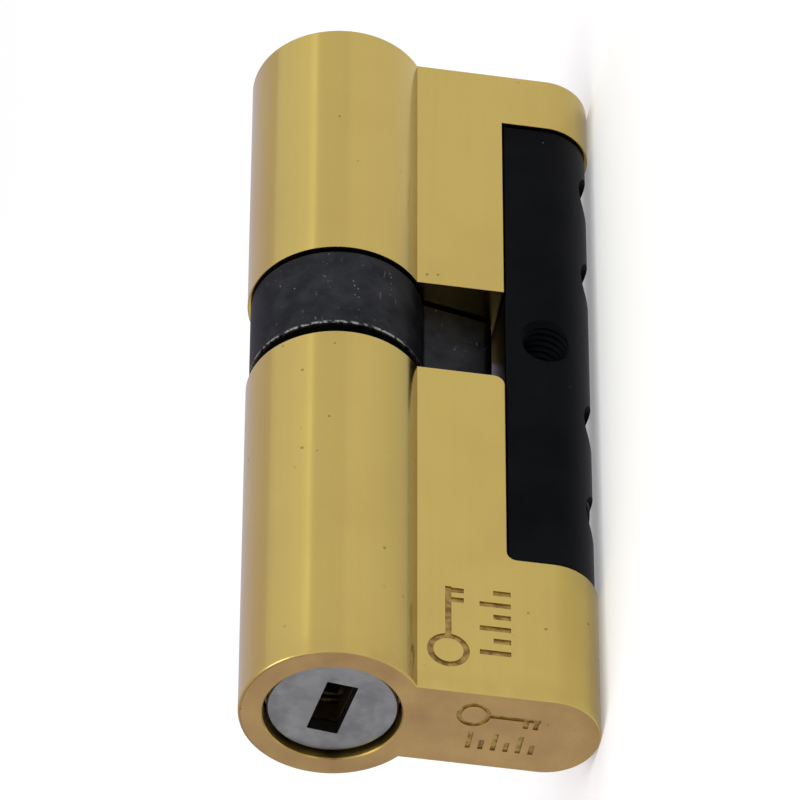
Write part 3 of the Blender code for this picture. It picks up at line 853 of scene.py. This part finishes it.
def makeShield(name, side, face, turn, material):
    front = face - shield["recess"]
    back = front - shield["thickness"]
    radius, edge = shield["radius"], shield["edge"]
    profile = [
        (0, front), (radius - edge, front), (radius, front - edge),
        (radius, back + edge), (radius - edge, back), (0, back),
    ]
    shape = turnedBody([(around, side * along) for around, along in profile], "Y", 128)
    piece = makePiece(name, shape, [material])
    inner, outer = shield["lugRadii"]
    lugEnds = sorted((side * (back + 0.4), side * (back - shield["lugLength"])))
    lugs = []
    for hand in (-1, 1):
        xLow, xHigh = sorted((hand * inner, hand * outer))
        lugs.append(block((xLow, lugEnds[0], -shield["lugHalf"]), (xHigh, lugEnds[1], shield["lugHalf"])))
    carve(piece, lugs, "UNION")
    length, width = shield["slotHalfLength"], shield["slotHalfWidth"]
    slotEnds = sorted((side * (front + overrun), side * (back - overrun)))
    slot = block((-length, slotEnds[0], -width), (length, slotEnds[1], width))
    lengthwise = edgesWhere(slot, lambda first, last: abs(first.y - last.y) > 1)
    roundEdges(slot, lengthwise, shield["slotCorner"])
    carve(piece, [slot])
    piece.data.transform(Matrix.Rotation(radians(turn), 4, "Y"))
    smoothOff(piece)
    return piece


print("materials")
brassFinishes = [polishedBrass(), keyFaceShadedBrass(), boreBrass(), markBrass()]
blackSteel = satinBlackSteel()
shieldFinish = shieldSteel()

print("housings")
outerHousing = makeHousing("outerHousing", -1, housing["outerFace"], brassFinishes)
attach(outerHousing, "body")
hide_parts("outer_housing")
innerHousing = makeHousing("innerHousing", 1, housing["innerFace"], brassFinishes)
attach(innerHousing, "body")
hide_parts("inner_housing")

print("connecting bar and screws")
connectingBar = makeBar(blackSteel)
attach(connectingBar, "body")
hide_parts("connecting_bar")
for index, (y, drop) in enumerate(zip(housing["screws"], screw["drops"]), 1):
    barScrew = makeScrew(index, y, drop, blackSteel)
    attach(barScrew, "body")
    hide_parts(f"bar_screw_{index}")

print("cam")
camRing = makeCam(blackenedCamSteel(camSizes["start"]))
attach(camRing, "cam")
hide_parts("cam")

print("shield discs")
outerShield = makeShield("outerShield", -1, housing["outerFace"], shield["outerTurn"], shieldFinish)
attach(outerShield, "outer_plug")
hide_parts("outer_shield_disc")
innerShield = makeShield("innerShield", 1, housing["innerFace"], 0.0, shieldFinish)
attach(innerShield, "inner_plug")
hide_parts("inner_shield_disc")

print("inner works")
# the code discs' brass is darkened as painted shade
rotorFinish, discFinish, clipFinish = rotorSteel(), shadedCodeDiscBrass(), clipSteel()
for name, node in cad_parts.items():
    if "code_disc" in name:
        finish = discFinish
    elif "retaining_ring" in name or "spacer" in name:
        finish = clipFinish
    elif "rotor" in name or "sidebar" in name or name == "clutch":
        finish = rotorFinish
    else:
        continue
    node.data.materials.clear()
    node.data.materials.append(finish)


studio = {
    "floorZ": -24.5,  # mm
    "floorSize": 6.0,  # metres from here on
    "lampSize": 0.5,
    "lampPower": 2.2,
    "lampPlace": (0.25, -0.45, 0.85),
    "cameraPlace": (0.446554, -0.431026, 0.069768),
    "cameraTurn": (43.88757, 80.25068, 0.67786),  # degrees
    "lens": 297.8,  # mm of focal length on a 36 mm sensor
    "sky": [
        (0.000, (0.62, 0.58, 0.66)),
        (0.500, (1.02, 1.03, 1.04)),
        (0.605, (1.06, 1.07, 1.06)),
        (0.609, (1.50, 1.52, 1.46)),
        (0.619, (1.50, 1.52, 1.46)),
        (0.632, (1.24, 1.26, 1.24)),
        (0.772, (1.06, 1.08, 1.10)),
        (0.777, (0.86, 0.80, 0.80)),
        (0.870, (0.82, 0.76, 0.86)),
        (1.000, (0.62, 0.58, 0.66)),
    ],
}


def makeWorld():
    world = bpy.data.worlds.new("studio")
    bpy.context.scene.world = world
    tree = Tree(world)
    where = tree.add("ShaderNodeTexCoord")
    x, z = (tree.add("ShaderNodeSeparateXYZ", {}, {0: where}, output=axis) for axis in (0, 2))
    around = z.sum("ARCTAN2", z, x) / fullTurn + 0.5
    colour = tree.add("ShaderNodeValToRGB", {"stops": studio["sky"]}, {0: around})
    background = tree.add("ShaderNodeBackground", {}, {"Color": colour, "Strength": 1.0})
    tree.add("ShaderNodeOutputWorld", {}, {"Surface": background})


def makeFloor():
    shape = bmesh.new()
    bmesh.ops.create_grid(shape, x_segments=1, y_segments=1, size=studio["floorSize"] / 2)
    bmesh.ops.translate(shape, verts=shape.verts, vec=(0, 0, studio["floorZ"] * mm))
    material, tree = newMaterial("paleFloor")
    tone = tree.mix(tree.noise(60.0), (0.72, 0.72, 0.72), (0.70, 0.70, 0.70))
    glow = {"Emission Color": (1, 1, 1, 1), "Emission Strength": 0.26}
    tree.shader({"Base Color": tone, "Roughness": 0.9, **glow})
    makePiece("floor", shape, [material])


def makeLight():
    lamp = bpy.data.lights.new("overhead", "AREA")
    lamp.shape = "DISK"
    lamp.size = studio["lampSize"]
    lamp.energy = studio["lampPower"]
    light = bpy.data.objects.new("overhead", lamp)
    light.location = studio["lampPlace"]
    light.rotation_euler = (-light.location).to_track_quat("-Z", "Y").to_euler()
    bpy.context.scene.collection.objects.link(light)


def makeCamera():
    lens = bpy.data.cameras.new("camera")
    lens.lens = studio["lens"]
    lens.sensor_width = 36
    lens.clip_start = 0.01
    lens.clip_end = 20
    camera = bpy.data.objects.new("camera", lens)
    camera.location = studio["cameraPlace"]
    camera.rotation_euler = [radians(angle) for angle in studio["cameraTurn"]]
    bpy.context.scene.collection.objects.link(camera)
    bpy.context.scene.camera = camera


print("floor, light and camera")
makeWorld()
makeFloor()
makeLight()
makeCamera()
bpy.context.scene.view_settings.view_transform = "Standard"
